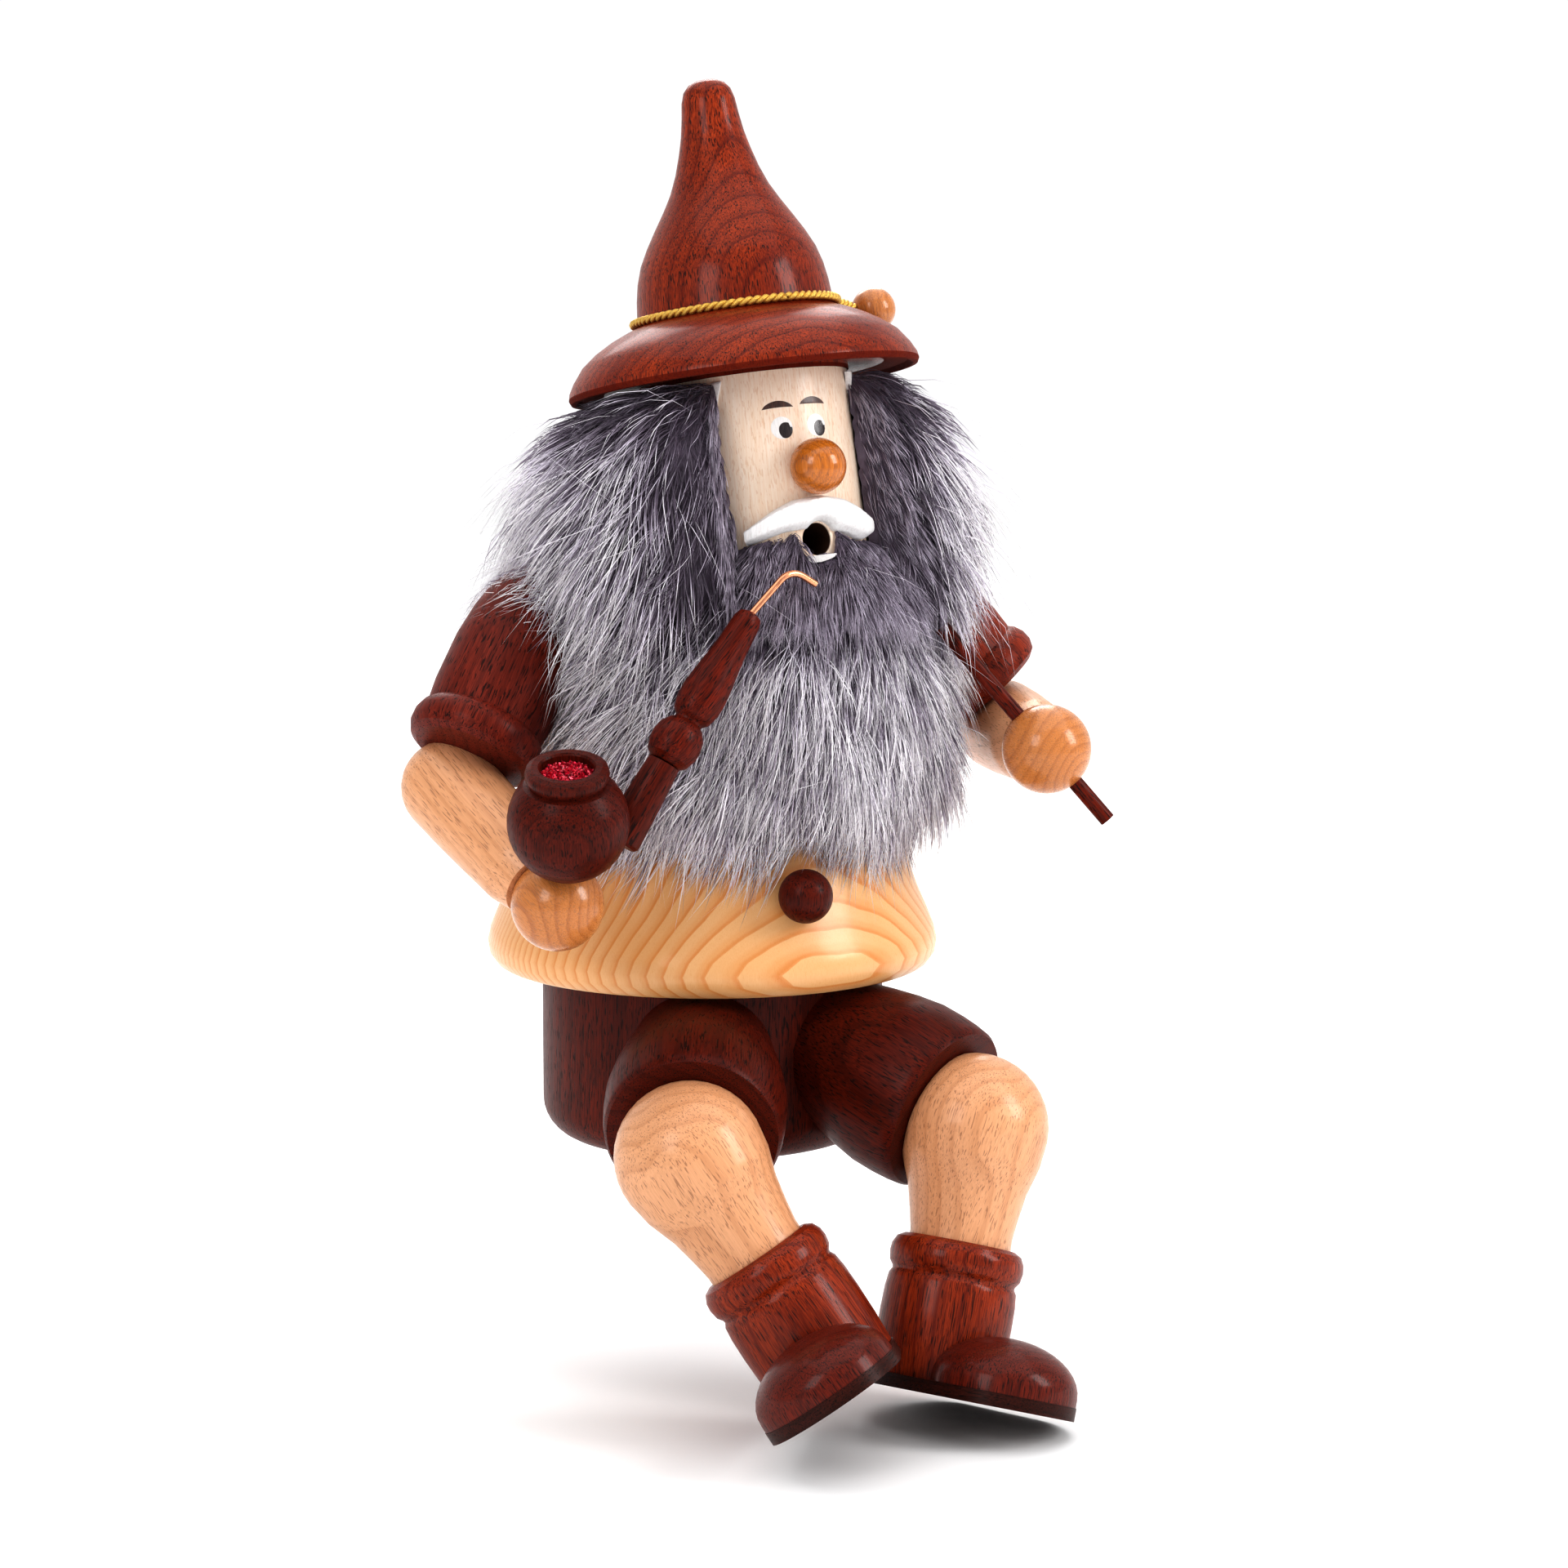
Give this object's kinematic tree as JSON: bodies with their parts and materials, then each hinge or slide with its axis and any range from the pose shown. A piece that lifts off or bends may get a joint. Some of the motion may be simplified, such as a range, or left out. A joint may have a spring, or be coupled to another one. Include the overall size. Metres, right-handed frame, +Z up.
{
  "type": "smoker figurine",
  "caption": "Turned-wood gnome smoker with a fur beard and pointed hat that sits on a shelf edge, holding a pipe and a staff; its trunk lifts off the seat.",
  "frame": {"origin": "centre of the underside of the seat drum, where the figure rests on a shelf; the legs hang below it", "axes": "+Z up along the seat drum and trunk, -Y is the way the figure faces, +X is the figure's left hand side"},
  "size_m": [0.1879, 0.1992, 0.339],
  "materials": {
    "dark_stained_beech": "satin lacquer over dark brown stain",
    "red_stained_beech": "satin lacquer over red-brown stain",
    "pale_beech": "clear satin lacquer",
    "maple": "clear satin lacquer",
    "pine": "clear satin lacquer",
    "honey_wood": "satin lacquer",
    "hand_wood": "satin lacquer",
    "dowel_wood": "raw",
    "white_paint": "white paint on wood",
    "grey_fur": "grey rabbit fur with white tips on white hide",
    "gold_cord": "twisted gold lurex cord",
    "copper_wire": "bright copper",
    "tray_metal": "stamped tin",
    "red_glitter": "magenta-red glitter"
  },
  "bodies": {
    "seat": {"seat_block": "dark_stained_beech", "thigh_right": "dark_stained_beech", "thigh_left": "dark_stained_beech", "hip_dowel_right": "dowel_wood", "hip_dowel_left": "dowel_wood", "knee_dowel_right": "dowel_wood", "knee_dowel_left": "dowel_wood"},
    "tray": {"incense_tray": "tray_metal"},
    "upper": {"torso": "pine", "button": "dark_stained_beech", "neck_dowel": "dowel_wood", "head": "maple", "nose": "honey_wood", "moustache": "white_paint", "hat": "red_stained_beech", "hat_cord": "gold_cord", "hat_bead": "honey_wood", "hair_fur": "grey_fur", "nape_fur": "grey_fur", "beard_fur": "grey_fur", "shoulder_dowel_right": "dowel_wood", "shoulder_dowel_left": "dowel_wood", "sleeve_right": "dark_stained_beech", "sleeve_left": "dark_stained_beech", "elbow_dowel_right": "dowel_wood", "elbow_dowel_left": "dowel_wood", "forearm_right": "pale_beech", "forearm_left": "pale_beech", "wrist_dowel_right": "dowel_wood", "wrist_dowel_left": "dowel_wood", "hand_right": "hand_wood", "hand_left": "hand_wood", "pipe_peg": "dowel_wood", "pipe_bowl": "dark_stained_beech", "pipe_ember": "red_glitter", "pipe_shank": "dark_stained_beech", "pipe_stem": "dark_stained_beech", "pipe_wire": "copper_wire"},
    "lower_leg_right": {"shin_right": "pale_beech", "ankle_dowel_right": "dowel_wood", "boot_shaft_right": "red_stained_beech", "boot_toe_right": "red_stained_beech", "boot_sole_right": "dark_stained_beech"},
    "lower_leg_left": {"shin_left": "pale_beech", "ankle_dowel_left": "dowel_wood", "boot_shaft_left": "red_stained_beech", "boot_toe_left": "red_stained_beech", "boot_sole_left": "dark_stained_beech"},
    "staff": {"staff": "dark_stained_beech"}
  },
  "joints": [
    {"name": "torso_turn", "type": "hinge", "parent": "seat", "child": "tray", "pos_m": [0, 0, 0.0545], "axis": [0, 0, 1], "continuous": true},
    {"name": "torso_lift", "type": "slide", "parent": "tray", "child": "upper", "axis": [0, 0, 1], "range_m": [0, 0.07]},
    {"name": "right_leg_swing", "type": "hinge", "parent": "seat", "child": "lower_leg_right", "pos_m": [-0.03578, -0.06729, 0.01556], "axis": [-0.4417, -0.8307, -0.3387], "range_deg": [-78, 0]},
    {"name": "left_leg_swing", "type": "hinge", "parent": "seat", "child": "lower_leg_left", "pos_m": [0.03578, -0.06729, 0.01556], "axis": [0.4417, -0.8307, -0.3387], "range_deg": [0, 60]},
    {"name": "staff_slide", "type": "slide", "parent": "upper", "child": "staff", "axis": [0.566, -0.3319, -0.7546], "range_m": [-0.008, 0.03]}
  ]
}
